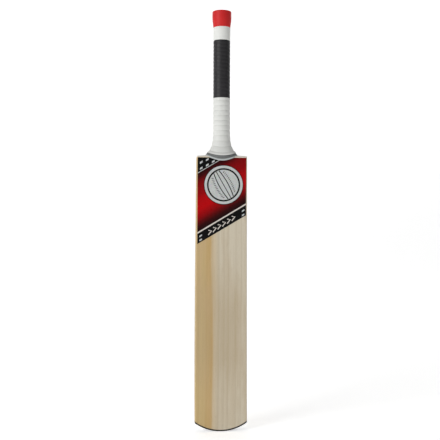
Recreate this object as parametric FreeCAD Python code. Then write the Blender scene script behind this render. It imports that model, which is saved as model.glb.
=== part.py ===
"""Cricket bat: a willow blade with a spliced, laminated cane handle, bound with twine and
sleeved with a ribbed rubber grip. Writes one STEP file for each piece to parts/.

Frame: +Z runs from the toe to the end of the handle, -Y is the way the hitting face looks, and
the origin is at the bottom centre of the bat's bounding box. The shapes are first drawn with the
handle's axis on Z, and each is moved back by CENTRE_SHIFT as it is written.
"""

import FreeCAD
import Part
import math
import os

V = FreeCAD.Vector
X_AXIS = V(1, 0, 0)
Y_AXIS = V(0, 1, 0)
Z_AXIS = V(0, 0, 1)
FAR = 200.0  # longer than the bat is wide or deep, for the solids that only cut

# Overall, in millimetres
LENGTH = 859.0
SHOULDER_Z = 564.5
SHOULDER_CORNER_Z = 562.3
TOE_WIDTH = 107.2
SHOULDER_WIDTH = 103.4

# Blade outline and profile
TOE_RADIUS = 93.0
SHOULDER_CORNER_RADIUS = 3.0
CROWN_FRONT_Z = 560.0
CROWN_BACK_Z = 558.0
HITTING_FACE_Y = -10.0
HITTING_FACE_BOTTOM_Z = 100.0
HITTING_FACE_TOP_Z = 378.0
TOE_BOW = 3.0
SHOULDER_BOW = 5.0
BACK_GRID_X = 57.0
BACK_GRID_COLUMNS = 15
RIDGE_ROUNDING = 0.22
FLANK_HOLLOW = 1.3
# Height above the toe, thickness at the edges, thickness at the spine
PROFILE = (
    (-6.0, 17.0, 21.0),
    (60.0, 25.0, 37.0),
    (140.0, 33.0, 53.0),
    (220.0, 36.0, 60.0),
    (310.0, 34.5, 56.5),
    (400.0, 30.0, 48.0),
    (480.0, 25.5, 40.0),
    (570.0, 22.5, 33.5),
)
FACE_EDGE_FILLET = 2.5
BACK_EDGE_FILLET = 6.0
TOE_FILLET = 0.8
TOE_GUARD_THICKNESS = 3.0

# Handle and splice
CANE_RADIUS = 14.8
CANE_TOP_Z = 856.0
# The flared base grows faster and faster down to the grip's lip, and then settles
FLARE_TOP_Z = 612.0
FLARE_LIP_Z = 570.0
FLARE_FOOT_Z = 544.0
FLARE_SECTIONS = 18
LIP_WIDENING = 12.0
LIP_DEEPENING = 3.5
FOOT_WIDENING = 18.0
FOOT_DEEPENING = 5.0
WIDENING_RATE = 3.8
DEEPENING_POWER = 2.6
SETTLING_HEIGHT = 4.5
SPLICE_WIDTH = 44.0
SPLICE_TIP_WIDTH = 3.0
SPLICE_TIP_Z = 416.0
SPRING_THICKNESS = 1.4
SPRING_PITCH = 8.3
CANE_COLUMNS = ("left", "middle", "right")
CANE_LAYERS = ("front", "inner_front", "inner_back", "back")
SPRING_NAMES = ("front", "centre", "back")

# Coverings, from the wood outwards
TWINE_THICKNESS = 0.6
BINDING_THICKNESS = 1.6
BASE_RING_THICKNESS = 2.2
GRIP_WHITE_RADIUS = 17.7
GRIP_BLACK_RADIUS = 17.35
GRIP_END_RADIUS = 19.6
GRIP_END_ROUNDING = 1.2
GRIP_END_WIDEST_Z = 845.0
GRIP_HOLE_RADIUS = 11.5
WHITE_GROOVE_PITCH = 10.4
BLACK_GROOVE_PITCH = 7.7
GROOVE_WIDTH = 2.0
GROOVE_DEPTH = 0.35
GROOVES_BOTTOM_Z = 572.0
LIP_ROUNDING = 0.9
RED_BOTTOM_Z = 826.0
BLACK_TOP_Z = 799.0
BLACK_BOTTOM_Z = 681.0
# Ends that dip at the front and back of the handle: height at the sides, and the dip
GRIP_LIP = (570.0, 7.0)
BASE_RING_TOP = (565.8, 11.5)
BASE_RING_BOTTOM = (562.8, 11.5)
DIP_REACH = 22.0

# Labels
LABEL_THICKNESS = 0.2
FRONT_LABEL_HALF_WIDTH = 49.8
FRONT_LABEL_TOP_Z = 558.5
FRONT_LABEL_LEFT_Z = 382.0
FRONT_LABEL_RIGHT_Z = 441.0
BACK_LABEL_HALF_WIDTH = 45.0
BACK_LABEL_TOP_Z = 542.0
BACK_LABEL_SIDE_Z = 476.0
BACK_LABEL_POINT_Z = 446.0

# The bat's depth runs from the base ring's front to the spine, and its middle is put at y = 0
FRONT_REACH = CANE_RADIUS + FOOT_DEEPENING + BASE_RING_THICKNESS
SPINE_REACH = HITTING_FACE_Y + max(spine for _, _, spine in PROFILE)
CENTRE_SHIFT = (FRONT_REACH - SPINE_REACH) / 2


def bow_radius(run, rise):
    """Radius of the arc that leaves a straight line and is rise off it after run."""
    return (run * run + rise * rise) / (2 * rise)


TOE_BOW_RADIUS = bow_radius(HITTING_FACE_BOTTOM_Z, TOE_BOW)
SHOULDER_BOW_RADIUS = bow_radius(SHOULDER_Z - HITTING_FACE_TOP_Z, SHOULDER_BOW)


def face_y(z):
    """Where the bowed face lies at height z: flat in the middle, curving forwards at both ends."""
    if z < HITTING_FACE_BOTTOM_Z:
        run, radius = HITTING_FACE_BOTTOM_Z - z, TOE_BOW_RADIUS
    else:
        run, radius = max(0.0, z - HITTING_FACE_TOP_Z), SHOULDER_BOW_RADIUS
    return HITTING_FACE_Y - (radius - math.sqrt(radius * radius - run * run))


def half_width(z):
    """Half the blade's width, which tapers evenly from the toe to the shoulders."""
    share = z / SHOULDER_CORNER_Z
    return (TOE_WIDTH + (SHOULDER_WIDTH - TOE_WIDTH) * share) / 2


def ridge(u):
    """The back's height from edge (0) to spine (1), at u half-widths from the middle."""
    c = RIDGE_ROUNDING
    fall = (math.sqrt(u * u + c * c) - c) / (math.sqrt(1 + c * c) - c)
    return max(0.0, 1 - fall) ** FLANK_HOLLOW


def prism(edges, direction):
    """The solid that a closed flat outline sweeps along direction."""
    return Part.Face(Part.Wire(edges)).extrude(direction)


def polygon_prism(points, direction):
    """The solid that a polygon sweeps along direction."""
    return Part.Face(Part.makePolygon(list(points) + [points[0]])).extrude(direction)


def in_front_plane(points):
    """Points given as (x, z), laid on a plane well in front of the bat."""
    return [V(x, -FAR / 2, z) for x, z in points]


# The blade


def side_form():
    """Everything between the blade's tapering sides, beyond both its ends."""
    low, high = -20.0, 580.0
    points = in_front_plane(
        [
            (-half_width(low), low),
            (half_width(low), low),
            (half_width(high), high),
            (-half_width(high), high),
        ]
    )
    return polygon_prism(points, V(0, FAR, 0))


def end_form():
    """The blade's outline seen from the front, with its round toe and sloping shoulders."""
    toe_half = TOE_WIDTH / 2
    toe_rise = TOE_RADIUS - math.sqrt(TOE_RADIUS**2 - toe_half**2)
    top_half = half_width(SHOULDER_CORNER_Z)
    left_toe, tip, right_toe, right, peak, left = in_front_plane(
        [
            (-toe_half, toe_rise),
            (0, 0),
            (toe_half, toe_rise),
            (top_half, SHOULDER_CORNER_Z),
            (0, SHOULDER_Z),
            (-top_half, SHOULDER_CORNER_Z),
        ]
    )
    edges = [
        Part.Arc(left_toe, tip, right_toe),
        Part.LineSegment(right_toe, right),
        Part.Arc(right, peak, left),
        Part.LineSegment(left, left_toe),
    ]
    block = prism([e.toShape() for e in edges], V(0, FAR, 0))
    corners = edges_where(block, lambda p, e: p.z > SHOULDER_CORNER_Z - 1 and e.Length > FAR - 1)
    return block.makeFillet(SHOULDER_CORNER_RADIUS, corners)


def front_form():
    """Everything behind the bowed face and below the crown of the shoulders."""
    low, crown_low, back = -20.0, 300.0, FAR / 2
    x = -FAR / 2

    def on_face(z):
        return V(x, face_y(z), z)

    low_middle = (low + HITTING_FACE_BOTTOM_Z) / 2
    high_middle = (CROWN_FRONT_Z + HITTING_FACE_TOP_Z) / 2
    bottom, top = on_face(HITTING_FACE_BOTTOM_Z), on_face(HITTING_FACE_TOP_Z)
    crown = on_face(CROWN_FRONT_Z)
    back_crown = V(x, crown.y + PROFILE[-1][2], CROWN_BACK_Z)
    edges = [
        Part.Arc(on_face(low), on_face(low_middle), bottom),
        Part.LineSegment(bottom, top),
        Part.Arc(top, on_face(high_middle), crown),
        Part.Arc(crown, V(x, 0, SHOULDER_Z), back_crown),
        Part.LineSegment(back_crown, V(x, back, crown_low)),
        Part.LineSegment(V(x, back, crown_low), V(x, back, low)),
        Part.LineSegment(V(x, back, low), on_face(low)),
    ]
    return prism([e.toShape() for e in edges], V(FAR, 0, 0))


def back_form():
    """Everything in front of the back, whose spine swells and thins along the blade."""
    columns = [
        BACK_GRID_X * (2 * i / (BACK_GRID_COLUMNS - 1) - 1) for i in range(BACK_GRID_COLUMNS)
    ]
    grid = []
    for z, edge, spine in PROFILE:
        rise = [(spine - edge) * ridge(abs(x) / half_width(z)) for x in columns]
        grid.append([V(x, face_y(z) + edge + r, z) for x, r in zip(columns, rise)])
    surface = Part.BSplineSurface()
    surface.interpolate(grid)
    return surface.toShape().extrude(V(0, -FAR, 0))


def edges_where(shape, wanted):
    """The edges of shape whose middle point passes the test."""
    found = []
    for edge in shape.Edges:
        middle = edge.valueAt((edge.FirstParameter + edge.LastParameter) / 2)
        if wanted(middle, edge):
            found.append(edge)
    return found


def rounded_blade():
    """The blade and its toe guard as one block, with its edges rounded."""
    block = side_form().common(front_form()).common(back_form())

    def along_side(p, edge):
        return edge.BoundBox.ZLength > 40 and abs(p.x) > half_width(p.z) - 1

    def on_face(p):
        return abs(p.y - face_y(p.z)) < 0.1

    face_edges = edges_where(block, lambda p, e: along_side(p, e) and on_face(p))
    block = block.makeFillet(FACE_EDGE_FILLET, face_edges)
    back_edges = edges_where(block, lambda p, e: along_side(p, e) and p.y > 0)
    block = block.makeFillet(BACK_EDGE_FILLET, back_edges)
    block = block.common(end_form())
    toe_edges = edges_where(block, lambda p, e: p.z < 1 and e.Length > TOE_WIDTH / 2)
    return block.makeFillet(TOE_FILLET, toe_edges)


def toe_guard_of(block):
    """The rubber strip round the toe, equally thick all along its curve."""
    core_centre = V(0, -FAR / 2, TOE_RADIUS)
    core = Part.makeCylinder(TOE_RADIUS - TOE_GUARD_THICKNESS, FAR, core_centre, Y_AXIS)
    toe_zone = Part.makeBox(FAR, FAR, TOE_RADIUS / 2, V(-FAR / 2, -FAR / 2, -1))
    return block.common(toe_zone).cut(core)


def dipped(end):
    """Everything below an end of the handle's coverings, which dips at the front and back."""
    side_z, dip = end
    radius = (DIP_REACH**2 + dip**2) / (2 * dip)
    centre_z = side_z - radius
    saddle = Part.makeCylinder(radius, FAR, V(-FAR / 2, 0, centre_z), X_AXIS)
    below = Part.makeBox(FAR, 2 * radius, FAR, V(-FAR / 2, -radius, centre_z - FAR))
    return saddle.fuse(below)


# The handle


def flare(z):
    """How much wider and how much deeper, each way from its axis, the handle is at height z."""
    if z >= FLARE_LIP_Z:
        t = (FLARE_TOP_Z - z) / (FLARE_TOP_Z - FLARE_LIP_Z)
        growth = math.expm1(WIDENING_RATE * t) / math.expm1(WIDENING_RATE)
        return LIP_WIDENING * growth, LIP_DEEPENING * t**DEEPENING_POWER
    left = math.exp((z - FLARE_LIP_Z) / SETTLING_HEIGHT)
    wider = FOOT_WIDENING - (FOOT_WIDENING - LIP_WIDENING) * left
    deeper = FOOT_DEEPENING - (FOOT_DEEPENING - LIP_DEEPENING) * left
    return wider, deeper


def ellipse_wire(half_x, half_y, z):
    """A closed ellipse about the handle's axis, which starts at the same side each time."""
    if abs(half_x - half_y) < 1e-6:
        curve = Part.Circle(V(0, 0, z), Z_AXIS, half_x)
    else:
        curve = Part.Ellipse(V(half_x, 0, z), V(0, half_y, z), V(0, 0, z))
    return Part.Wire(curve.toShape())


def flared_handle(radius, top_z):
    """A round handle of that radius up to top_z, with its flared base."""
    sections = []
    for i in range(FLARE_SECTIONS):
        z = FLARE_TOP_Z - (FLARE_TOP_Z - FLARE_FOOT_Z) * i / (FLARE_SECTIONS - 1)
        wider, deeper = flare(z)
        sections.append(ellipse_wire(radius + wider, radius + deeper, z))
    base = Part.makeLoft(sections, True, False)
    shaft = Part.makeCylinder(radius, top_z - FLARE_TOP_Z, V(0, 0, FLARE_TOP_Z), Z_AXIS)
    return base.fuse(shaft)


def splice_block():
    """The handle's share of the bat: its shaft, and the wedge that runs down into the blade."""
    half, tip = SPLICE_WIDTH / 2, SPLICE_TIP_WIDTH / 2
    points = in_front_plane(
        [
            (-tip, SPLICE_TIP_Z),
            (tip, SPLICE_TIP_Z),
            (half, SHOULDER_Z),
            (half, LENGTH),
            (-half, LENGTH),
            (-half, SHOULDER_Z),
        ]
    )
    return polygon_prism(points, V(0, FAR, 0))


def slab(x0, x1, y0, y1):
    """A tall box between two pairs of planes, for sawing the handle into its laminations."""
    low = SPLICE_TIP_Z - 1
    return Part.makeBox(x1 - x0, y1 - y0, LENGTH - low, V(x0, y0, low))


def layer_bounds():
    """The front and back of each cane layer; the rubber springs fill the gaps between them."""
    springs = [SPRING_PITCH * i for i in (-1, 0, 1)]
    starts = [-FAR / 2] + [y + SPRING_THICKNESS / 2 for y in springs]
    ends = [y - SPRING_THICKNESS / 2 for y in springs] + [FAR / 2]
    return list(zip(starts, ends))


def cane_strips(handle):
    """Twelve strips of cane: four layers of three."""
    strip = SPLICE_WIDTH / len(CANE_COLUMNS)
    strips = {}
    for layer, (y0, y1) in zip(CANE_LAYERS, layer_bounds()):
        for i, column in enumerate(CANE_COLUMNS):
            x0 = -SPLICE_WIDTH / 2 + i * strip
            strips[f"cane_{layer}_{column}"] = handle.common(slab(x0, x0 + strip, y0, y1))
    return strips


def rubber_springs(handle):
    """Three rubber sheets that run the length of the handle between the cane layers."""
    bounds = layer_bounds()
    sheets = {}
    for i, name in enumerate(SPRING_NAMES):
        gap = slab(-FAR / 2, FAR / 2, bounds[i][1], bounds[i + 1][0])
        sheets[f"rubber_spring_{name}"] = handle.common(gap)
    return sheets


# The handle's coverings


def twine_binding(wood):
    """The thread wound round the whole handle under the grip."""
    sleeve = flared_handle(CANE_RADIUS + TWINE_THICKNESS, CANE_TOP_Z)
    return sleeve.cut(dipped(GRIP_LIP)).cut(wood)


def base_collar(thickness, top, bottom, wood):
    """A collar round the foot of the handle, between two dipping ends."""
    sleeve = flared_handle(CANE_RADIUS + thickness, FLARE_TOP_Z + 1)
    return sleeve.common(dipped(top)).cut(dipped(bottom)).cut(wood)


def collar_room():
    """Everything that the handle and the base ring round it take up, for trimming the labels."""
    return flared_handle(CANE_RADIUS + BASE_RING_THICKNESS, CANE_TOP_Z).cut(dipped(BASE_RING_BOTTOM))


def grip_band(outer_radius, bottom_z, top_z):
    """A band of the grip round the straight part of the handle."""
    height = top_z - bottom_z
    outer = Part.makeCylinder(outer_radius, height, V(0, 0, bottom_z), Z_AXIS)
    inner = Part.makeCylinder(CANE_RADIUS + TWINE_THICKNESS, height, V(0, 0, bottom_z), Z_AXIS)
    return outer.cut(inner)


def grooved(band, outer_radius, bottom_z, top_z, pitch):
    """The band with shallow grooves round it at an even pitch, which leave it ribbed."""
    skin = flared_handle(outer_radius + 1, LENGTH).cut(
        flared_handle(outer_radius - GROOVE_DEPTH, LENGTH)
    )
    count = int((top_z - bottom_z) / pitch)
    margin = (top_z - bottom_z - (count - 1) * pitch) / 2
    centres = [bottom_z + margin + i * pitch for i in range(count)]
    slices = [
        Part.makeBox(FAR, FAR, GROOVE_WIDTH, V(-FAR / 2, -FAR / 2, z - GROOVE_WIDTH / 2))
        for z in centres
    ]
    return band.cut(skin.common(Part.makeCompound(slices)))


def grip_end():
    """The grip's red end, which swells and turns in over the top of the handle."""
    inner, swell_z = CANE_RADIUS + TWINE_THICKNESS, GRIP_END_WIDEST_Z
    rim_z, rim_r = LENGTH - GRIP_END_ROUNDING, GRIP_END_RADIUS - GRIP_END_ROUNDING
    mouth = 1.2
    corner = GRIP_END_ROUNDING * math.sqrt(0.5)
    cut = mouth * (1 - math.sqrt(0.5))

    def at(r, z):
        return V(r, 0, z)

    swell = Part.BSplineCurve()
    swell.interpolate(
        [
            at(GRIP_WHITE_RADIUS, RED_BOTTOM_Z),
            at(GRIP_WHITE_RADIUS + 0.7, RED_BOTTOM_Z + 8.0),
            at(GRIP_END_RADIUS, swell_z),
        ],
        Tangents=[V(0, 0, 1), V(0.14, 0, 1), V(0, 0, 1)],
        TangentFlags=[False, True, True],
    )
    edges = [
        Part.LineSegment(at(inner, RED_BOTTOM_Z), at(GRIP_WHITE_RADIUS, RED_BOTTOM_Z)),
        swell,
        Part.LineSegment(at(GRIP_END_RADIUS, swell_z), at(GRIP_END_RADIUS, rim_z)),
        Part.Arc(
            at(GRIP_END_RADIUS, rim_z), at(rim_r + corner, rim_z + corner), at(rim_r, LENGTH)
        ),
        Part.LineSegment(at(rim_r, LENGTH), at(GRIP_HOLE_RADIUS + mouth, LENGTH)),
        Part.Arc(
            at(GRIP_HOLE_RADIUS + mouth, LENGTH),
            at(GRIP_HOLE_RADIUS + cut, LENGTH - cut),
            at(GRIP_HOLE_RADIUS, LENGTH - mouth),
        ),
        Part.LineSegment(at(GRIP_HOLE_RADIUS, LENGTH - mouth), at(GRIP_HOLE_RADIUS, CANE_TOP_Z)),
        Part.LineSegment(at(GRIP_HOLE_RADIUS, CANE_TOP_Z), at(inner, CANE_TOP_Z)),
        Part.LineSegment(at(inner, CANE_TOP_Z), at(inner, RED_BOTTOM_Z)),
    ]
    face = Part.Face(Part.Wire([e.toShape() for e in edges]))
    return face.revolve(V(0, 0, 0), Z_AXIS, 360)


def grip_foot(wood, twine):
    """The grip's lower white band, which follows the flare to its dipping, rounded lip."""
    sleeve = flared_handle(GRIP_WHITE_RADIUS, BLACK_BOTTOM_Z)
    foot = sleeve.cut(dipped(GRIP_LIP)).cut(wood).cut(twine)
    end_edges = edges_where(foot, lambda p, e: p.z < GRIP_LIP[0])
    longest = max(e.Length for e in end_edges)
    return foot.makeFillet(LIP_ROUNDING, [e for e in end_edges if e.Length > longest - 1])


# Labels


def front_label(blade_block, collar):
    """The thin label on the upper face, with its slanting foot."""
    sheet = blade_block.translated(V(0, -LABEL_THICKNESS, 0)).cut(blade_block)
    half = FRONT_LABEL_HALF_WIDTH
    outline = polygon_prism(
        in_front_plane(
            [
                (-half, FRONT_LABEL_LEFT_Z),
                (half, FRONT_LABEL_RIGHT_Z),
                (half, FRONT_LABEL_TOP_Z),
                (-half, FRONT_LABEL_TOP_Z),
            ]
        ),
        V(0, FAR, 0),
    )
    return sheet.common(outline).cut(collar)


def back_label(collar):
    """The thin label across the upper back, pointed at the spine."""
    form = back_form()
    sheet = form.translated(V(0, LABEL_THICKNESS, 0)).cut(form)
    half = BACK_LABEL_HALF_WIDTH
    outline = polygon_prism(
        in_front_plane(
            [
                (-half, BACK_LABEL_SIDE_Z),
                (0, BACK_LABEL_POINT_Z),
                (half, BACK_LABEL_SIDE_Z),
                (half, BACK_LABEL_TOP_Z),
                (-half, BACK_LABEL_TOP_Z),
            ]
        ),
        V(0, FAR, 0),
    )
    return sheet.common(outline).cut(collar)


def bat():
    """Every piece of the bat by name, with the handle's axis on Z."""
    blade_block = rounded_blade()
    toe_guard = toe_guard_of(blade_block)
    handle_wood = flared_handle(CANE_RADIUS, CANE_TOP_Z).cut(dipped(BASE_RING_BOTTOM))
    wood = blade_block.cut(toe_guard).fuse(handle_wood)
    splice = splice_block()
    handle = wood.common(splice)
    twine = twine_binding(wood)
    white_foot = grip_foot(wood, twine)
    black_band = grip_band(GRIP_BLACK_RADIUS, BLACK_BOTTOM_Z, BLACK_TOP_Z)
    white_band = grip_band(GRIP_WHITE_RADIUS, BLACK_TOP_Z, RED_BOTTOM_Z)
    collar = collar_room()
    pieces = {
        "blade": wood.cut(splice),
        "toe_guard": toe_guard,
        "twine_binding": twine,
        "shoulder_binding": base_collar(BINDING_THICKNESS, GRIP_LIP, BASE_RING_TOP, wood),
        "base_ring": base_collar(BASE_RING_THICKNESS, BASE_RING_TOP, BASE_RING_BOTTOM, wood),
        "grip_white_lower": grooved(
            white_foot, GRIP_WHITE_RADIUS, GROOVES_BOTTOM_Z, BLACK_BOTTOM_Z, WHITE_GROOVE_PITCH
        ),
        "grip_black_middle": grooved(
            black_band, GRIP_BLACK_RADIUS, BLACK_BOTTOM_Z, BLACK_TOP_Z, BLACK_GROOVE_PITCH
        ),
        "grip_white_upper": grooved(
            white_band, GRIP_WHITE_RADIUS, BLACK_TOP_Z, RED_BOTTOM_Z, WHITE_GROOVE_PITCH
        ),
        "grip_red_end": grip_end(),
        "front_label": front_label(blade_block, collar),
        "back_label": back_label(collar),
    }
    pieces.update(cane_strips(handle))
    pieces.update(rubber_springs(handle))
    return pieces


def main():
    os.makedirs("parts", exist_ok=True)
    for name, shape in bat().items():
        solids = shape.Solids
        if not solids or not all(s.isValid() for s in solids):
            raise RuntimeError(f"{name} is not a valid solid")
        placed = Part.makeCompound([s.translated(V(0, CENTRE_SHIFT, 0)) for s in solids])
        placed.exportStep(f"parts/{name}.step")
        print(f"{name}: {len(solids)} solid(s), {placed.Volume / 1000:.2f} cm3")


main()
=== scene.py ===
"""Cricket bat: procedural willow, cane, rubber, thread and printed film over the CAD frame.

Lengths are in metres. The handle's coverings and the labels' prints are built here as meshes;
the wood, the springs, the twine and the toe guard keep their CAD shapes and get materials.
"""

import math

import bpy
from mathutils import Matrix, Vector
from mathutils.bvhtree import BVHTree


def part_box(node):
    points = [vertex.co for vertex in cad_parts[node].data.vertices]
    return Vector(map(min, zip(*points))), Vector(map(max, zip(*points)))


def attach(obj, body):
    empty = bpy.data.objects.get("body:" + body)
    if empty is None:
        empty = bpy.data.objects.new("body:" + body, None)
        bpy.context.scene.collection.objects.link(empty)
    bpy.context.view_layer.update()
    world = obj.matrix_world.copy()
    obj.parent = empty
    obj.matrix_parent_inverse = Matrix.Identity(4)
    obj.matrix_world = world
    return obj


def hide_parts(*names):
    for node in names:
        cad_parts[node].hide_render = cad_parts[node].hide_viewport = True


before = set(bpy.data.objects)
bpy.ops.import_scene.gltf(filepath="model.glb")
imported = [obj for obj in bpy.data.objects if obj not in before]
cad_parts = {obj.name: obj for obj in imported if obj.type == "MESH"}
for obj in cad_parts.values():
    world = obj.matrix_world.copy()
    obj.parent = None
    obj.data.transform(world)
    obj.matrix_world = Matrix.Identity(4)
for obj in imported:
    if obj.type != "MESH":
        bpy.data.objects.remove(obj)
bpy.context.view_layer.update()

MM = 0.001

# Camera: a long lens straight at the middle of the bat, a little to the left of its face
CAMERA_DISTANCE = 1.545
CAMERA_AZIMUTH = math.radians(-5.5)
CAMERA_ROLL = math.radians(0.2)
CAMERA_HEIGHT = 0.43125
CAMERA_LENS = 62.05
CAMERA_AIM_X = -0.0039

# Handle coverings, as the CAD has them
HANDLE_Y = (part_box("grip_black_middle")[0].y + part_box("grip_black_middle")[1].y) / 2
CANE_R = 14.8 * MM
WHITE_R = 17.7 * MM
BLACK_R = 17.35 * MM
INNER_R = 15.4 * MM
BLACK_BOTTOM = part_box("grip_black_middle")[0].z
BLACK_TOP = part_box("grip_black_middle")[1].z
RED_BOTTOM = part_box("grip_red_end")[0].z
HANDLE_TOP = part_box("grip_red_end")[1].z
CANE_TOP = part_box("cane_front_middle")[1].z
END_R = 19.6 * MM
END_HOLE_R = 11.5 * MM
WHITE_RIB_PITCH = 10.4 * MM
BLACK_RIB_PITCH = 7.7 * MM
RIB_STEPS = 14
# The flared base grows faster and faster down to the grip's lip, and then settles
FLARE_TOP = 612.0 * MM
FLARE_LIP = 570.0 * MM
LIP_WIDENING = 12.0 * MM
LIP_DEEPENING = 3.5 * MM
FOOT_WIDENING = 18.0 * MM
FOOT_DEEPENING = 5.0 * MM
WIDENING_RATE = 3.8
DEEPENING_POWER = 2.6
SETTLING_HEIGHT = 4.5 * MM
# Ends that dip at the front and back: height at the sides, and the dip, in mm
GRIP_LIP = (570.0, 7.0)
RING_TOP = (565.8, 11.5)
RING_BOTTOM = (562.8, 11.5)
DIP_REACH = 22.0
AROUND = 112

# Label print: everything runs along lines that climb to the right at this slope
SLANT = 0.6
LINE_LOW = 0.4342
LINE_TOP = 0.5563
# The emblem: where its ball's middle is, the seam's tilt, the ball's radius, and how far past
# the ball its ring begins and ends and its black outline ends
EMBLEM = (0.0035, 0.5030)
EMBLEM_TILT = math.radians(30)
BALL_R = 0.0308
EMBLEM_RING = (3.2 * MM, 8.4 * MM)
EMBLEM_OUTLINE = 9.8 * MM
PRINT_THICKNESS = 0.03 * MM
# Centres of the checks in the label's upper corner and in its lower strip, (x, z) in mm
UPPER_CHECKS = ((-42.6, 548.5), (-42.6, 536.5), (-30.3, 554.0), (-30.3, 543.0), (-18.0, 550.4))
LOWER_CHECKS = ((-43.0, 398.8), (-43.0, 390.6), (44.0, 450.6), (44.0, 441.8))

# Back label print: bands that fall towards the spine at this slope, as heights at the spine
BACK_SLANT = 0.6667
BACK_LABEL_POINT_DROP = 30.0 * MM
RED_BAND = (0.466, 0.500)
LOW_WHITE_BAND = (0.4615, 0.4645)
HIGH_WHITE_BAND = (0.5015, 0.503)

# Willow: how far the trunk's centre lies to the left of the face's middle and behind it, and
# the distance from one growth ring to the next
TRUNK_LEFT = 0.32
TRUNK_BEHIND = 0.05
RING_SPACING = 0.0118
# The heartwood gives way to pale wood between these places across the rings, and its edge moves
# over by this much between these heights
HEARTWOOD_EDGE = (-0.0122, -0.0072)
HEARTWOOD_NARROWING = 0.0028
NARROWING_HEIGHTS = (0.22, 0.36)
# Heights between which the blade's middle grows darker, and then pale again
DARKENING_HEIGHTS = (0.05, 0.16)
PALING_HEIGHTS = (0.23, 0.37)
# The crown of the shoulders is painted near-white, a painted highlight of the light from above,
# which fades in between these heights
CROWN_HIGHLIGHT_HEIGHTS = (0.5578, 0.5605)

# Studio
LIT_HEIGHT = 0.45
SURROUND_LIGHT = 0.2
SURROUND_SEEN = 0.97


# Meshes


def make_object(name, points, faces, material, smooth=True):
    """A mesh object that rides on the bat, with one material."""
    mesh = bpy.data.meshes.new(name)
    mesh.from_pydata([tuple(p) for p in points], [], faces)
    mesh.validate()
    mesh.update()
    for polygon in mesh.polygons:
        polygon.use_smooth = smooth
    piece = bpy.data.objects.new(name, mesh)
    bpy.context.scene.collection.objects.link(piece)
    mesh.materials.append(material)
    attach(piece, "root")
    return piece


def looped_skin(rows):
    """Faces that join each closed row of points to the next, and the last to the first."""
    points = [p for row in rows for p in row]
    count = len(rows[0])
    faces = []
    for i in range(len(rows)):
        here, there = i * count, ((i + 1) % len(rows)) * count
        for j in range(count):
            k = (j + 1) % count
            faces.append((here + j, here + k, there + k, there + j))
    return points, faces


def flare(z):
    """How much wider and how much deeper, each way from its axis, the handle is at height z."""
    if z >= FLARE_TOP:
        return 0.0, 0.0
    if z >= FLARE_LIP:
        t = (FLARE_TOP - z) / (FLARE_TOP - FLARE_LIP)
        growth = math.expm1(WIDENING_RATE * t) / math.expm1(WIDENING_RATE)
        return LIP_WIDENING * growth, LIP_DEEPENING * t**DEEPENING_POWER
    left = math.exp((z - FLARE_LIP) / SETTLING_HEIGHT)
    wider = FOOT_WIDENING - (FOOT_WIDENING - LIP_WIDENING) * left
    deeper = FOOT_DEEPENING - (FOOT_DEEPENING - LIP_DEEPENING) * left
    return wider, deeper


def dip_at(end, y):
    """How far an end of a covering has dipped at a distance y before or behind the axis."""
    dip = end[1] * MM
    reach = DIP_REACH * MM
    radius = (reach * reach + dip * dip) / (2 * dip)
    return radius - math.sqrt(max(0.0, radius * radius - y * y))


def handle_ring(radius, level, end=None, share=1.0):
    """A closed row of points round the handle, dipping like an end by that share of its dip."""
    row = []
    for j in range(AROUND):
        angle = 2 * math.pi * j / AROUND
        z = level
        # The depth sets the dip and the dip's height sets the depth, so they are found in turns
        for _ in range(3):
            wide, deep = flare(z)
            y = (radius + deep) * math.sin(angle)
            if end:
                z = level - share * dip_at(end, y)
        row.append(Vector(((radius + wide) * math.cos(angle), HANDLE_Y + y, z)))
    return row


def rib(phase):
    """Height of a rounded rib at a phase from one groove (0) to the next (1)."""
    return math.sin(math.pi * (phase % 1.0)) ** 0.45


def ribbed_band(name, outer, bottom, top, pitch, depth, material, node):
    """A straight band of the grip with rounded ribs."""
    count = round((top - bottom) / pitch)
    steps = count * RIB_STEPS
    rows = []
    for i in range(steps + 1):
        z = top - (top - bottom) * i / steps
        edge = 0.0 if i in (0, steps) else rib(i / RIB_STEPS)
        rows.append(handle_ring(outer - depth * (1 - edge), z))
    rows.append(handle_ring(INNER_R, bottom))
    rows.append(handle_ring(INNER_R, top))
    points, faces = looped_skin(rows)
    piece = make_object(name, points, faces, material)
    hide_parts(node)


def grip_foot(material):
    """The lower white band: ribs down the flare, then a rolled lip that dips front and back."""
    top, side_lip = BLACK_BOTTOM, GRIP_LIP[0] * MM
    depth = 0.9 * MM
    lip_height = 4.2 * MM
    ribs_bottom = side_lip + lip_height
    # The uppermost rib is cut in half by the black band
    count = round((top - ribs_bottom) / WHITE_RIB_PITCH - 0.5) + 0.5
    steps = round(count * RIB_STEPS)
    levels = []
    for i in range(steps + 1):
        z = top - (top - ribs_bottom) * i / steps
        levels.append((z, -depth * (1 - rib(i / RIB_STEPS + 0.5))))
    for i in range(1, 11):
        turn = math.pi * i / 10
        levels.append(
            (
                ribs_bottom - lip_height * (1 - math.cos(turn)) / 2,
                depth * 1.2 * math.sin(turn) - depth * (1 - i / 10),
            )
        )
    levels.append((side_lip - 0.3 * MM, -1.0 * MM))
    levels.append((side_lip + 0.2 * MM, -1.9 * MM))

    def share_at(z):
        """The share of the lip's dip that a row at height z has."""
        share = min(1.0, max(0.0, (FLARE_TOP - z) / (FLARE_TOP - side_lip)))
        return share * share * (3 - 2 * share)

    rows = [handle_ring(WHITE_R + lift, z, GRIP_LIP, share_at(z)) for z, lift in levels]
    lining_bottom = side_lip + 5 * MM
    for i in range(25):
        z = lining_bottom + (top - lining_bottom) * i / 24
        rows.append(handle_ring(INNER_R, z, GRIP_LIP, share_at(z)))
    points, faces = looped_skin(rows)
    piece = make_object("grip_foot_ribbed", points, faces, material)
    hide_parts("grip_white_lower")


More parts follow.
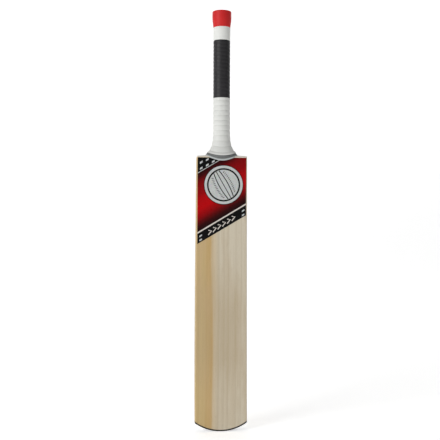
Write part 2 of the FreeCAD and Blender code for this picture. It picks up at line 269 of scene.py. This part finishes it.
def grip_end(material):
    """The red end: it swells, rounds over and turns in to a hole over the end of the handle."""
    swell = (
        (17.3, 0.0),
        (17.7, 0.5),
        (17.85, 3.0),
        (18.15, 6.0),
        (18.7, 9.5),
        (19.3, 13.5),
        (19.6, 18.0),
        (19.65, 22.0),
        (19.6, 26.0),
    )
    profile = [(r * MM, RED_BOTTOM + z * MM) for r, z in swell]
    rim, mouth = 1.3 * MM, 1.5 * MM
    for i in range(7):
        turn = math.pi / 2 * i / 6
        r = END_R - rim * (1 - math.cos(turn))
        profile.append((r, HANDLE_TOP - rim * (1 - math.sin(turn))))
    for i in range(6):
        turn = math.pi / 2 * i / 5
        r = END_HOLE_R + mouth * (1 - math.sin(turn))
        profile.append((r, HANDLE_TOP - mouth * (1 - math.cos(turn))))
    profile.append((END_HOLE_R, CANE_TOP))
    profile.append((INNER_R, CANE_TOP))
    profile.append((INNER_R, RED_BOTTOM))
    rows = [handle_ring(r, z) for r, z in profile]
    points, faces = looped_skin(rows)
    piece = make_object("grip_end_rolled", points, faces, material)
    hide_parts("grip_red_end")


def shoulder_binding(material):
    """Fine thread wound round the foot of the handle, from under the grip to the base ring."""
    threads = 12
    per_thread = 6
    rows = []
    top, bottom = GRIP_LIP, RING_TOP
    high, low = top[0] + 2.0, bottom[0]
    for i in range(threads * per_thread + 1):
        t = i / (threads * per_thread)
        level = (high + (low - high) * t) * MM
        dip = (0.0, top[1] + (bottom[1] - top[1]) * t)
        lift = 1.6 * MM - 0.22 * MM * (1 - rib(i / per_thread))
        rows.append(handle_ring(CANE_R + lift, level, dip))
    rows.append(handle_ring(CANE_R + 0.1 * MM, low * MM, bottom))
    rows.append(handle_ring(CANE_R + 0.1 * MM, high * MM, top))
    points, faces = looped_skin(rows)
    piece = make_object("shoulder_binding_threads", points, faces, material)
    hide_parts("shoulder_binding")


def base_ring(material):
    """The paler bead where the handle meets the blade."""
    rows = []
    steps = 14
    middle = (RING_TOP[0] + RING_BOTTOM[0]) / 2
    half = (RING_TOP[0] - RING_BOTTOM[0]) / 2
    for i in range(steps):
        turn = 2 * math.pi * i / steps
        lift = 1.25 + 1.15 * math.cos(turn)
        rows.append(
            handle_ring(CANE_R + lift * MM, (middle - half * math.sin(turn)) * MM, RING_TOP)
        )
    points, faces = looped_skin(rows)
    piece = make_object("base_ring_bead", points, faces, material)
    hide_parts("base_ring")


# Prints that lie on the labels


def surface_of(nodes):
    """A tree of the faces of some CAD nodes, for finding where a ray meets them."""
    points, faces = [], []
    for name in nodes:
        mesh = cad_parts[name].data
        start = len(points)
        points += [v.co.copy() for v in mesh.vertices]
        faces += [[start + i for i in polygon.vertices] for polygon in mesh.polygons]
    return BVHTree.FromPolygons(points, faces)


def surface_y(tree, x, z, side):
    """Where the surface lies at (x, z), seen from the front (side -1) or the back (side 1)."""
    hit = tree.ray_cast(Vector((x, side, z)), Vector((0, -side, 0)))[0]
    return hit.y


def film(name, flat, faces, tree, side, lift, thickness, material):
    """A thin closed film whose flat outline (x, z) is laid over a surface of the bat."""
    outer, inner = [], []
    for x, z in flat:
        y = surface_y(tree, x, z, side)
        outer.append(Vector((x, y + side * (lift + thickness), z)))
        inner.append(Vector((x, y + side * lift, z)))
    count = len(flat)
    used = {}
    for face in faces:
        for a, b in zip(face, face[1:] + face[:1]):
            used[(a, b)] = True
    skin = [tuple(f) if side < 0 else tuple(reversed(f)) for f in faces]
    back = [tuple(count + i for i in reversed(f)) for f in skin]
    walls = []
    for a, b in used:
        if (b, a) not in used:
            wall = (b, a, count + a, count + b)
            walls.append(wall if side < 0 else tuple(reversed(wall)))
    return make_object(name, outer + inner, skin + back + walls, material, smooth=False)


def merge(parts):
    """One list of points and faces from several."""
    points, faces = [], []
    for part_points, part_faces in parts:
        start = len(points)
        points += part_points
        faces += [[start + i for i in face] for face in part_faces]
    return points, faces


def strip(path, half_width):
    """A strip of even width along a path of (x, z) points."""
    points, faces = [], []
    for i, here in enumerate(path):
        before, after = path[max(0, i - 1)], path[min(len(path) - 1, i + 1)]
        dx, dz = after[0] - before[0], after[1] - before[1]
        length = math.hypot(dx, dz)
        nx, nz = -dz / length * half_width, dx / length * half_width
        points.append((here[0] + nx, here[1] + nz))
        points.append((here[0] - nx, here[1] - nz))
        if i:
            a = 2 * i - 2
            faces.append([a, a + 1, a + 3, a + 2])
    return points, faces


def slanted_line(x0, x1, level, half_width):
    """A strip along the label's slant, with upright ends, at a level measured at x = 0."""
    steps = max(1, round((x1 - x0) / (4 * MM)))
    points, faces = [], []
    for i in range(steps + 1):
        x = x0 + (x1 - x0) * i / steps
        z = level + SLANT * x
        points.append((x, z + half_width))
        points.append((x, z - half_width))
        if i:
            a = 2 * i - 2
            faces.append([a, a + 1, a + 3, a + 2])
    return points, faces


def slanted_block(x, z, width, height):
    """A small block with upright sides whose top and bottom follow the slant."""
    rise = SLANT * width / 2
    return (
        [
            (x - width / 2, z - height / 2 - rise),
            (x + width / 2, z - height / 2 + rise),
            (x + width / 2, z + height / 2 + rise),
            (x - width / 2, z + height / 2 - rise),
        ],
        [[0, 1, 2, 3]],
    )


def annulus(centre, inner, outer):
    """A flat ring, or a disc if inner is 0, meshed finely enough to follow the bow."""
    around = 72
    steps = max(1, round((outer - inner) / (4 * MM)))
    points, faces = [], []
    first = 0 if inner > 0 else 1
    if inner == 0:
        points.append(centre)
    for i in range(first, steps + 1):
        radius = inner + (outer - inner) * i / steps
        for j in range(around):
            angle = 2 * math.pi * j / around
            points.append(
                (centre[0] + radius * math.cos(angle), centre[1] + radius * math.sin(angle))
            )
    base = 0 if inner > 0 else 1
    if inner == 0:
        for j in range(around):
            faces.append([0, 1 + j, 1 + (j + 1) % around])
    for i in range(steps - first):
        here, there = base + i * around, base + (i + 1) * around
        for j in range(around):
            k = (j + 1) % around
            faces.append([here + j, there + j, there + k, here + k])
    return points, faces


def on_emblem(across, along):
    """A point of the emblem, given across and along its tilted seam."""
    c, s = math.cos(EMBLEM_TILT), math.sin(EMBLEM_TILT)
    return EMBLEM[0] + across * c - along * s, EMBLEM[1] + across * s + along * c


def seam_path(offset, bulge, reach):
    """A bowed line that runs the length of the seam."""
    steps = 24
    path = []
    for i in range(steps + 1):
        t = 2 * i / steps - 1
        path.append(on_emblem(offset + bulge * (1 - t * t), reach * t))
    return path


def ball_seams():
    """The seam of the ball on the emblem: bowed lines with short stitches across them."""
    parts = []
    for offset, bulge, half in ((-6.0, -3.0, 0.95), (0.0, 0.0, 0.8), (6.0, 3.0, 0.95)):
        reach = math.sqrt(BALL_R**2 - (offset * MM) ** 2) * 0.985
        parts.append(strip(seam_path(offset * MM, bulge * MM, reach), half * MM))
    for offset, bulge in ((-11.5, -4.4), (11.5, 4.4)):
        for i in range(-6, 7):
            t = i / 7.6
            across = (offset + bulge * (1 - t * t)) * MM
            along = t * BALL_R * 0.93
            lean = 0.9 * MM * (1 if offset > 0 else -1)
            start = on_emblem(across - 1.9 * MM, along - lean)
            end = on_emblem(across + 1.9 * MM, along + lean)
            parts.append(strip([start, end], 0.6 * MM))
    return merge(parts)


def chevrons(count, pitch, level, size, half_width):
    """A row of plain chevrons along the slant."""
    parts = []
    for i in range(count):
        x = (i - (count - 1) / 2) * pitch
        z = level + SLANT * x
        path = [
            (x - size * 0.35, z + size * 0.5 - SLANT * size * 0.35),
            (x + size * 0.35, z + SLANT * size * 0.35),
            (x - size * 0.35, z - size * 0.5 - SLANT * size * 0.35),
        ]
        parts.append(strip(path, half_width))
    return merge(parts)


def front_prints(inks):
    """What is printed on the front label."""
    tree = surface_of(["front_label"])
    low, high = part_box("front_label")
    x0, x1 = low.x + 0.2 * MM, high.x - 0.2 * MM

    def lay(name, parts, lift, ink):
        """One film of ink on the label, lifted clear of what is printed under it."""
        points, faces = merge(parts)
        film(name, points, faces, tree, -1, lift, PRINT_THICKNESS, inks[ink])

    corner_end = (high.z - LINE_TOP) / SLANT - 1.5 * MM
    lay("print_line_low", [slanted_line(x0, x1, LINE_LOW, 1.6 * MM)], 0.0, "white")
    lay("print_line_top", [slanted_line(x0, corner_end, LINE_TOP, 0.7 * MM)], 0.0, "silver")
    checks = [slanted_block(x * MM, z * MM, 5.4 * MM, 3.8 * MM) for x, z in UPPER_CHECKS]
    checks += [slanted_block(x * MM, z * MM, 5.0 * MM, 3.2 * MM) for x, z in LOWER_CHECKS]
    lay("print_checks", checks, 0.0, "silver")
    lay("print_chevrons", [chevrons(6, 9.6 * MM, 0.4218, 9.4 * MM, 1.05 * MM)], 0.0, "white")
    lay("emblem_outline", [annulus(EMBLEM, 0, BALL_R + EMBLEM_OUTLINE)], 0.0, "black")
    ring = annulus(EMBLEM, BALL_R + EMBLEM_RING[0], BALL_R + EMBLEM_RING[1])
    lay("emblem_ring", [ring], 0.05 * MM, "silver")
    lay("emblem_ball", [annulus(EMBLEM, 0, BALL_R)], 0.05 * MM, "silver")
    lay("emblem_seam", [ball_seams()], 0.10 * MM, "black")


def back_label(material):
    """The back label, laid over the ridge of the spine."""
    wood = ["blade"] + [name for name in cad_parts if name.startswith(("cane_", "rubber_"))]
    tree = surface_of(wood)
    low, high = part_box("back_label")
    columns, rows = 46, 24
    points, faces = [], []
    for i in range(columns + 1):
        x = low.x + (high.x - low.x) * i / columns
        foot = low.z + BACK_LABEL_POINT_DROP * abs(x) / high.x
        for j in range(rows + 1):
            points.append((x, foot + (high.z - foot) * j / rows))
    for i in range(columns):
        for j in range(rows):
            a = i * (rows + 1) + j
            faces.append([a, a + rows + 1, a + rows + 2, a + 1])
    piece = film(
        "back_label_film", points, faces, tree, 1, 0.05 * MM, 0.2 * MM, material
    )
    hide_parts("back_label")


# Materials


class Finish:
    """One material and short calls for building its nodes."""

    def __init__(self, name, roughness, **sockets):
        self.material = bpy.data.materials.new(name)
        self.material.use_nodes = True
        self.tree = self.material.node_tree
        self.tree.nodes.clear()
        self.shader = self.add("ShaderNodeBsdfPrincipled")
        self.set(self.shader, Roughness=roughness, **sockets)
        output = self.add("ShaderNodeOutputMaterial")
        self.tree.links.new(self.shader.outputs[0], output.inputs["Surface"])
        self.place = self.add("ShaderNodeTexCoord").outputs["Object"]
        split = self.add("ShaderNodeSeparateXYZ")
        self.tree.links.new(self.place, split.inputs[0])
        self.x, self.y, self.z = split.outputs

    def add(self, kind, **settings):
        """A new node."""
        node = self.tree.nodes.new(kind)
        for key, value in settings.items():
            setattr(node, key, value)
        return node

    def put(self, socket, value):
        """Links a socket to another, or sets its number or colour."""
        if isinstance(value, bpy.types.NodeSocket):
            self.tree.links.new(value, socket)
        else:
            socket.default_value = value

    def set(self, node, **sockets):
        """Puts values in a node's sockets by name, with _ for a space."""
        for key, value in sockets.items():
            self.put(node.inputs[key.replace("_", " ")], value)

    def math(self, operation, a, b=0.0):
        """The outcome of a sum."""
        node = self.add("ShaderNodeMath", operation=operation)
        for socket, value in zip(node.inputs, (a, b)):
            self.put(socket, value)
        return node.outputs[0]

    def between(self, value, low, high):
        """1 where value lies between low and high, and 0 elsewhere."""
        over, under = self.math("GREATER_THAN", value, low), self.math("LESS_THAN", value, high)
        return self.math("MULTIPLY", over, under)

    def join(self, x, y, z):
        """A vector from three numbers."""
        node = self.add("ShaderNodeCombineXYZ")
        for socket, value in zip(node.inputs, (x, y, z)):
            self.put(socket, value)
        return node.outputs[0]

    def stretched(self, x, y, z):
        """The place, with each direction scaled on its own."""
        node = self.add("ShaderNodeVectorMath", operation="MULTIPLY")
        self.put(node.inputs[0], self.place)
        self.put(node.inputs[1], (x, y, z))
        return node.outputs[0]

    def noise(self, vector, scale=1.0, detail=2.0, roughness=0.5):
        """Soft noise from 0 to 1."""
        node = self.add("ShaderNodeTexNoise")
        self.put(node.inputs["Vector"], vector)
        self.set(node, Scale=scale, Detail=detail, Roughness=roughness)
        return node.outputs["Fac"]

    def fade(self, value, low, high, out_low=0.0, out_high=1.0):
        """A smooth change from out_low to out_high as value goes from low to high."""
        node = self.add("ShaderNodeMapRange", interpolation_type="SMOOTHSTEP")
        for socket, item in zip(node.inputs, (value, low, high, out_low, out_high)):
            self.put(socket, item)
        return node.outputs[0]

    def scale(self, value, low, high, out_low, out_high):
        """A straight change from out_low to out_high as value goes from low to high."""
        node = self.add("ShaderNodeMapRange")
        for socket, item in zip(node.inputs, (value, low, high, out_low, out_high)):
            self.put(socket, item)
        return node.outputs[0]

    def mix(self, factor, a, b, blend="MIX"):
        """A colour between a and b."""
        node = self.add("ShaderNodeMix", data_type="RGBA", blend_type=blend)
        self.put(node.inputs[0], factor)
        for socket, value in zip((node.inputs[6], node.inputs[7]), (a, b)):
            self.put(socket, value if isinstance(value, bpy.types.NodeSocket) else (*value, 1.0))
        return node.outputs[2]

    def ramp(self, factor, stops):
        """The colour at factor along a row of (position, colour) stops."""
        node = self.add("ShaderNodeValToRGB")
        elements = node.color_ramp.elements
        while len(elements) < len(stops):
            elements.new(0.5)
        for element, (position, colour) in zip(elements, stops):
            element.position = position
            element.color = (*colour, 1.0)
        self.put(node.inputs[0], factor)
        return node.outputs[0]

    def bump(self, height, distance, strength=1.0):
        """Small relief in the surface, distance high."""
        node = self.add("ShaderNodeBump")
        self.set(node, Height=height, Distance=distance, Strength=strength)
        self.put(self.shader.inputs["Normal"], node.outputs[0])

    def colour(self, value):
        """Sets the surface's colour."""
        self.put(self.shader.inputs["Base Color"], value)

    def rough(self, value):
        """Sets the surface's roughness."""
        self.put(self.shader.inputs["Roughness"], value)


def linear(level):
    """The strength of light that a level from 0 to 1, as the eye sees it, stands for."""
    return ((level + 0.055) / 1.055) ** 2.4 if level > 0.04045 else level / 12.92


def srgb(*levels):
    """A colour given as 0 to 255, as the eye sees it."""
    return tuple(linear(level / 255) for level in levels)


def ring_place(f):
    """How far out a point is in the trunk, from the face's middle, with a slight wander."""
    # The trunk's centre is off to the left, so the rings cross the face nearly at right angles
    across = f.math("POWER", f.math("ADD", f.x, TRUNK_LEFT), 2.0)
    deep = f.math("POWER", f.math("SUBTRACT", f.y, TRUNK_BEHIND), 2.0)
    trunk = f.math("SQRT", f.math("ADD", across, deep))
    wander = f.math("SUBTRACT", f.noise(f.stretched(9.0, 9.0, 2.2), detail=3.0), 0.5)
    out = f.math("SUBTRACT", trunk, TRUNK_LEFT)
    return f.math("ADD", out, f.math("MULTIPLY", wander, 0.006))


def late_wood(f, ring):
    """The growth rings: each darkens slowly to its edge, and the next starts pale."""
    spacing = f.noise(f.join(f.math("MULTIPLY", ring, 70.0), 0.0, 0.0), detail=1.0)
    even = f.math("DIVIDE", ring, RING_SPACING)
    turns = f.math("ADD", even, f.math("MULTIPLY", spacing, 1.6))
    return f.ramp(
        f.math("FRACT", turns),
        [
            (0.0, (0.7,) * 3),
            (0.06, (0.0,) * 3),
            (0.5, (0.12,) * 3),
            (0.86, (0.65,) * 3),
            (1.0, (1.0,) * 3),
        ],
    )


def pale_wood(f, ring, streaks, clouds, late):
    """The sapwood's colour, which is yellower beside the heartwood."""
    pale = f.mix(streaks, srgb(221, 213, 194), srgb(208, 197, 175))
    pale = f.mix(f.fade(clouds, 0.42, 0.66, 0.0, 0.34), pale, srgb(192, 172, 140))
    pale = f.mix(f.scale(late, 0.0, 1.0, 0.0, 0.34), pale, srgb(180, 162, 130))
    return f.mix(f.fade(ring, -0.009, 0.004, 0.5, 0.0), pale, srgb(204, 176, 126))


def heartwood(f, ring, streaks, clouds, late):
    """The darker strip's colour, which is deepest at its rim."""
    heart = f.mix(streaks, srgb(210, 187, 138), srgb(198, 171, 117))
    heart = f.mix(f.scale(late, 0.0, 1.0, 0.0, 0.36), heart, srgb(186, 142, 86))
    heart = f.mix(f.fade(clouds, 0.4, 0.62, 0.0, 0.5), heart, srgb(204, 174, 132))
    rim = f.math("MULTIPLY", f.fade(ring, -0.026, -0.017), f.fade(clouds, 0.3, 0.6, 0.7, 0.3))
    return f.mix(rim, heart, srgb(196, 158, 98))


def willow():
    """Straight-grained willow: growth rings, fine fibres and a darker strip of heartwood."""
    f = Finish("willow", 0.5, Specular_IOR_Level=0.3)
    ring = ring_place(f)

    def along_grain(across_grain, through, along, detail):
        """Noise drawn out along the grain."""
        place = f.join(
            f.math("MULTIPLY", ring, across_grain),
            f.math("MULTIPLY", f.y, through),
            f.math("MULTIPLY", f.z, along),
        )
        return f.noise(place, detail=detail, roughness=0.6)

    late = late_wood(f, ring)
    fibres = along_grain(1500.0, 900.0, 14.0, 4.0)
    streaks = along_grain(260.0, 160.0, 3.0, 3.0)
    pores = along_grain(3600.0, 2600.0, 120.0, 1.0)
    clouds = along_grain(42.0, 30.0, 7.0, 4.0)

    pale = pale_wood(f, ring, streaks, clouds, late)
    heart = heartwood(f, ring, streaks, clouds, late)
    # The heartwood's edge waves, and the strip is a little narrower towards the shoulders
    wavy = f.math("ADD", ring, f.math("MULTIPLY", f.math("SUBTRACT", clouds, 0.5), 0.007))
    wavy = f.math("ADD", wavy, f.fade(f.z, *NARROWING_HEIGHTS, 0.0, HEARTWOOD_NARROWING))
    wood = f.mix(f.fade(wavy, *HEARTWOOD_EDGE, 1.0, 0.0), pale, heart)
    # The blade's middle is a little darker than its ends, most of all in the pale wood's middle
    rise, fall = f.fade(f.z, *DARKENING_HEIGHTS), f.fade(f.z, *PALING_HEIGHTS, 1.0, 0.0)
    middle = f.math("MULTIPLY", rise, fall)
    middle = f.math("MULTIPLY", middle, f.fade(f.x, -0.014, 0.0, 0.3, 0.52))
    middle = f.math("MULTIPLY", middle, f.fade(f.x, 0.028, 0.038, 1.0, 0.4))
    wood = f.mix(middle, wood, srgb(178, 158, 124))
    wood = f.mix(f.scale(fibres, 0.35, 0.75, 0.0, 0.24), wood, srgb(162, 138, 102))
    wood = f.mix(f.fade(pores, 0.66, 0.74, 0.0, 0.35), wood, srgb(132, 106, 74))
    # Painted highlight: the rounded crown of the shoulders, lit from above, is painted near-white
    crown_highlight = f.fade(f.z, *CROWN_HIGHLIGHT_HEIGHTS, 0.0, 0.92)
    f.colour(f.mix(crown_highlight, wood, srgb(247, 241, 229)))
    f.rough(f.scale(fibres, 0.3, 0.7, 0.42, 0.58))
    f.bump(f.math("SUBTRACT", fibres, f.math("MULTIPLY", pores, 0.4)), 0.00006, 0.6)
    return f.material


def cane():
    """Handle cane: fine bundles that run up the handle and show as dots in its end."""
    f = Finish("cane", 0.55, Specular_IOR_Level=0.3)
    cells = f.add("ShaderNodeTexVoronoi", feature="F1")
    f.put(cells.inputs["Vector"], f.stretched(1300.0, 1300.0, 22.0))
    dots = f.fade(cells.outputs["Distance"], 0.12, 0.42)
    slow = f.noise(f.stretched(160.0, 160.0, 6.0), detail=3.0)
    body = f.mix(slow, srgb(226, 196, 140), srgb(204, 168, 108))
    f.colour(f.mix(dots, srgb(128, 90, 50), body))
    f.rough(f.scale(slow, 0.0, 1.0, 0.48, 0.66))
    f.bump(dots, 0.00006, 0.5)
    return f.material


def twine():
    """Waxed thread wound tightly round the handle."""
    f = Finish("twine", 0.6, Sheen_Weight=0.2)
    wind = f.math("FRACT", f.math("MULTIPLY", f.z, 1200.0))
    round_thread = f.math("SINE", f.math("MULTIPLY", wind, math.pi))
    fluff = f.noise(f.stretched(2400.0, 2400.0, 5200.0), detail=3.0)
    f.colour(f.mix(fluff, srgb(224, 210, 176), srgb(188, 168, 126)))
    f.bump(f.math("ADD", round_thread, f.math("MULTIPLY", fluff, 0.2)), 0.0003)
    return f.material


def thread_binding():
    """Dark grey thread: fibres along each turn, with a little fluff."""
    f = Finish("binding_thread", 0.75, Sheen_Weight=0.3)
    turn = f.math("ARCTAN2", f.math("SUBTRACT", f.y, HANDLE_Y), f.x)
    wound = f.join(f.math("MULTIPLY", turn, 60.0), 0.0, f.math("MULTIPLY", f.z, 5200.0))
    fibre = f.noise(wound, detail=3.0)
    dust = f.noise(f.place, scale=220.0, detail=4.0)
    f.colour(f.mix(f.math("MULTIPLY", fibre, dust), srgb(96, 99, 99), srgb(150, 153, 152)))
    f.rough(f.scale(dust, 0.3, 0.7, 0.65, 0.85))
    f.bump(fibre, 0.00012, 0.8)
    return f.material


def rubber(name, dark, light, roughness):
    """Moulded rubber: a fine dimpled skin, with slightly uneven colour and gloss."""
    f = Finish(name, roughness, Specular_IOR_Level=0.25)
    skin = f.noise(f.place, scale=2600.0, detail=2.0, roughness=0.6)
    cloud = f.noise(f.stretched(38.0, 38.0, 26.0), detail=4.0, roughness=0.6)
    smudge = f.noise(f.place, scale=140.0, detail=5.0, roughness=0.7)
    base = f.mix(cloud, dark, light)
    base = f.mix(f.fade(smudge, 0.52, 0.8, 0.0, 0.3), base, dark)
    f.colour(base)
    f.rough(f.scale(smudge, 0.3, 0.7, roughness - 0.08, roughness + 0.1))
    f.bump(f.math("ADD", skin, f.math("MULTIPLY", smudge, 0.6)), 0.00005, 0.7)
    return f.material


def foil():
    """Silver foil with a fine glitter that breaks the light into faint colours."""
    f = Finish("silver_foil", 0.42, Metallic=0.35, Specular_IOR_Level=0.4)
    grain = f.add("ShaderNodeTexVoronoi", feature="F1")
    f.put(grain.inputs["Vector"], f.place)
    f.set(grain, Scale=900.0)
    flake = f.add("ShaderNodeHueSaturation")
    f.put(flake.inputs["Color"], grain.outputs["Color"])
    f.set(flake, Saturation=0.45, Value=1.1)
    sheen = f.add("ShaderNodeTexNoise")
    f.put(sheen.inputs["Vector"], f.place)
    f.set(sheen, Scale=190.0, Detail=2.0, Roughness=0.5)
    patch = f.noise(f.place, scale=160.0, detail=3.0)
    base = f.mix(patch, srgb(214, 218, 216), srgb(190, 194, 192))
    base = f.mix(0.22, base, sheen.outputs["Color"], "SOFT_LIGHT")
    f.colour(f.mix(0.2, base, flake.outputs[0]))
    f.rough(f.scale(grain.outputs["Distance"], 0.0, 0.7, 0.3, 0.55))
    f.bump(grain.outputs["Distance"], 0.00008, 0.6)
    return f.material


def ink(name, colour, other):
    """A flat print with the slight unevenness of ink on film."""
    f = Finish(name, 0.35, Specular_IOR_Level=0.15)
    mottle = f.noise(f.place, scale=420.0, detail=4.0, roughness=0.65)
    f.colour(f.mix(mottle, colour, other))
    f.rough(f.scale(mottle, 0.3, 0.7, 0.28, 0.42))
    return f.material


def front_label_print():
    """The front label's field: red that falls to black towards its slanting borders."""
    f = Finish("front_label_print", 0.3, Specular_IOR_Level=0.12)
    level = f.math("SUBTRACT", f.z, f.math("MULTIPLY", f.x, SLANT))
    mottle = f.noise(f.place, scale=380.0, detail=4.0, roughness=0.65)
    glow = f.ramp(
        f.scale(level, 0.436, 0.556, 0.0, 1.0),
        [
            (0.0, srgb(20, 3, 4)),
            (0.08, srgb(50, 4, 5)),
            (0.15, srgb(94, 3, 6)),
            (0.22, srgb(140, 2, 8)),
            (0.37, srgb(190, 1, 9)),
            (0.52, srgb(182, 2, 10)),
            (0.64, srgb(150, 2, 9)),
            (0.75, srgb(138, 3, 8)),
            (0.84, srgb(118, 3, 7)),
            (0.92, srgb(66, 3, 6)),
            (1.0, srgb(30, 3, 5)),
        ],
    )
    across = f.scale(f.x, -0.03, 0.05, 0.0, 0.3)
    field = f.mix(across, glow, f.mix(0.35, glow, srgb(20, 2, 4)))
    field = f.mix(f.math("MULTIPLY", mottle, 0.12), field, srgb(60, 2, 6))
    black = f.mix(mottle, srgb(7, 6, 7), srgb(14, 13, 14))
    below = f.math("LESS_THAN", level, LINE_LOW)
    above = f.math("GREATER_THAN", level, LINE_TOP)
    f.colour(f.mix(f.math("MAXIMUM", below, above), field, black))
    f.rough(f.scale(mottle, 0.3, 0.7, 0.24, 0.36))
    f.bump(mottle, 0.00002, 0.4)
    return f.material


def back_label_print():
    """The back label's field: black, with a slanting red band edged in white on each side."""
    f = Finish("back_label_print", 0.3, Specular_IOR_Level=0.12)
    mottle = f.noise(f.place, scale=380.0, detail=4.0, roughness=0.65)
    level = f.math("SUBTRACT", f.z, f.math("MULTIPLY", f.math("ABSOLUTE", f.x), BACK_SLANT))
    red = f.mix(mottle, srgb(206, 6, 14), srgb(176, 2, 10))
    black = f.mix(mottle, srgb(7, 6, 7), srgb(14, 13, 14))
    white = f.mix(mottle, srgb(232, 232, 230), srgb(214, 214, 212))
    field = f.mix(f.between(level, *RED_BAND), black, red)
    edging = f.math("MAXIMUM", f.between(level, *LOW_WHITE_BAND), f.between(level, *HIGH_WHITE_BAND))
    f.colour(f.mix(edging, field, white))
    f.rough(f.scale(mottle, 0.3, 0.7, 0.24, 0.36))
    f.bump(mottle, 0.00002, 0.4)
    return f.material


def finish_cad_nodes(finishes):
    """Gives every CAD node that stays in view the material its name asks for."""
    for name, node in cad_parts.items():
        for start, material in finishes.items():
            if name.startswith(start):
                node.data.materials.clear()
                node.data.materials.append(material)


# Stage


def make_camera():
    """A camera that looks level at the face, from a little to its left."""
    camera = bpy.data.objects.new("camera", bpy.data.cameras.new("camera"))
    bpy.context.scene.collection.objects.link(camera)
    camera.data.lens = CAMERA_LENS
    camera.data.sensor_width = 36.0
    back = Vector((math.sin(CAMERA_AZIMUTH), -math.cos(CAMERA_AZIMUTH), 0.0))
    face_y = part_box("blade")[0].y
    place = Vector((CAMERA_AIM_X, face_y, CAMERA_HEIGHT)) + back * CAMERA_DISTANCE
    turn = Matrix.Rotation(CAMERA_AZIMUTH, 4, "Z")
    level = Matrix.Rotation(math.pi / 2, 4, "X")
    roll = Matrix.Rotation(CAMERA_ROLL, 4, "Z")
    camera.matrix_world = Matrix.Translation(place) @ turn @ level @ roll
    bpy.context.scene.camera = camera


def area_light(name, place, size, power):
    """A soft rectangular white light, aimed at the middle of the bat."""
    light = bpy.data.lights.new(name, "AREA")
    light.shape = "RECTANGLE"
    light.size, light.size_y = size
    light.energy = power
    lamp = bpy.data.objects.new(name, light)
    bpy.context.scene.collection.objects.link(lamp)
    lamp.location = place
    direction = Vector((0, 0, LIT_HEIGHT)) - Vector(place)
    lamp.rotation_euler = direction.to_track_quat("-Z", "Y").to_euler()


def make_backdrop():
    """A pale floor that curves up into a wall well behind the bat."""
    half, front, back, wall, radius = 6.0, -6.0, 3.2, 5.0, 1.2
    profile = [(front, 0.0), (back - radius, 0.0)]
    for i in range(1, 13):
        turn = math.pi / 2 * i / 12
        profile.append((back - radius + radius * math.sin(turn), radius * (1 - math.cos(turn))))
    profile.append((back, wall))
    points = [(x, y, z) for y, z in profile for x in (-half, half)]
    faces = [(2 * i, 2 * i + 1, 2 * i + 3, 2 * i + 2) for i in range(len(profile) - 1)]
    mesh = bpy.data.meshes.new("backdrop")
    mesh.from_pydata(points, [], faces)
    for polygon in mesh.polygons:
        polygon.use_smooth = True
    backdrop = bpy.data.objects.new("backdrop", mesh)
    bpy.context.scene.collection.objects.link(backdrop)
    f = Finish("backdrop_paper", 0.9)
    f.colour((0.93, 0.93, 0.93, 1.0))
    f.set(f.shader, Emission_Color=(1.0, 1.0, 1.0, 1.0), Emission_Strength=0.55)
    mesh.materials.append(f.material)


def make_world():
    """Soft light from all round, and a pale surround beyond the floor's edge."""
    world = bpy.data.worlds.new("studio")
    bpy.context.scene.world = world
    world.use_nodes = True
    nodes, links = world.node_tree.nodes, world.node_tree.links
    light = nodes["Background"]
    light.inputs["Color"].default_value = (1.0, 1.0, 1.0, 1.0)
    light.inputs["Strength"].default_value = SURROUND_LIGHT
    seen = nodes.new("ShaderNodeBackground")
    seen.inputs["Color"].default_value = (1.0, 1.0, 1.0, 1.0)
    seen.inputs["Strength"].default_value = SURROUND_SEEN
    paths = nodes.new("ShaderNodeLightPath")
    choice = nodes.new("ShaderNodeMixShader")
    links.new(paths.outputs["Is Camera Ray"], choice.inputs[0])
    links.new(light.outputs[0], choice.inputs[1])
    links.new(seen.outputs[0], choice.inputs[2])
    links.new(choice.outputs[0], nodes["World Output"].inputs["Surface"])


def main():
    """Builds the stage, the materials and every piece."""
    bpy.context.scene.view_settings.view_transform = "Standard"
    make_camera()
    make_backdrop()
    make_world()
    area_light("key", (-2.3, -1.7, 1.5), (1.4, 1.6), 42.0)
    area_light("fill", (1.6, -2.4, 0.9), (1.6, 1.6), 1.5)

    red = rubber("grip_red_rubber", srgb(190, 28, 30), srgb(215, 44, 44), 0.5)
    white = rubber("grip_white_rubber", srgb(224, 226, 222), srgb(240, 240, 236), 0.5)
    # The grip's foot is white rubber a little darker than the white band above it
    foot_white = rubber("grip_foot_rubber", srgb(215, 217, 213), srgb(232, 232, 228), 0.5)
    black = rubber("grip_black_rubber", srgb(37, 36, 38), srgb(51, 50, 52), 0.43)
    toe = rubber("toe_rubber", srgb(26, 25, 24), srgb(44, 42, 40), 0.6)
    spring = rubber("spring_rubber", srgb(30, 28, 26), srgb(52, 48, 44), 0.7)
    ring = rubber("ring_rubber", srgb(186, 192, 192), srgb(206, 210, 210), 0.6)
    inks = {
        "white": ink("white_ink", srgb(226, 218, 210), srgb(204, 196, 188)),
        "black": ink("black_ink", srgb(8, 7, 8), srgb(15, 14, 15)),
        "silver": foil(),
    }
    finish_cad_nodes(
        {
            "blade": willow(),
            "cane_": cane(),
            "rubber_spring_": spring,
            "twine_binding": twine(),
            "toe_guard": toe,
            "front_label": front_label_print(),
        }
    )
    grip_end(red)
    ribbed_band(
        "grip_upper_ribbed", WHITE_R, BLACK_TOP, RED_BOTTOM, WHITE_RIB_PITCH, 0.3 * MM,
        white, "grip_white_upper",
    )
    ribbed_band(
        "grip_black_ribbed", BLACK_R, BLACK_BOTTOM, BLACK_TOP, BLACK_RIB_PITCH, 0.6 * MM,
        black, "grip_black_middle",
    )
    grip_foot(foot_white)
    shoulder_binding(thread_binding())
    base_ring(ring)
    front_prints(inks)
    back_label(back_label_print())


main()
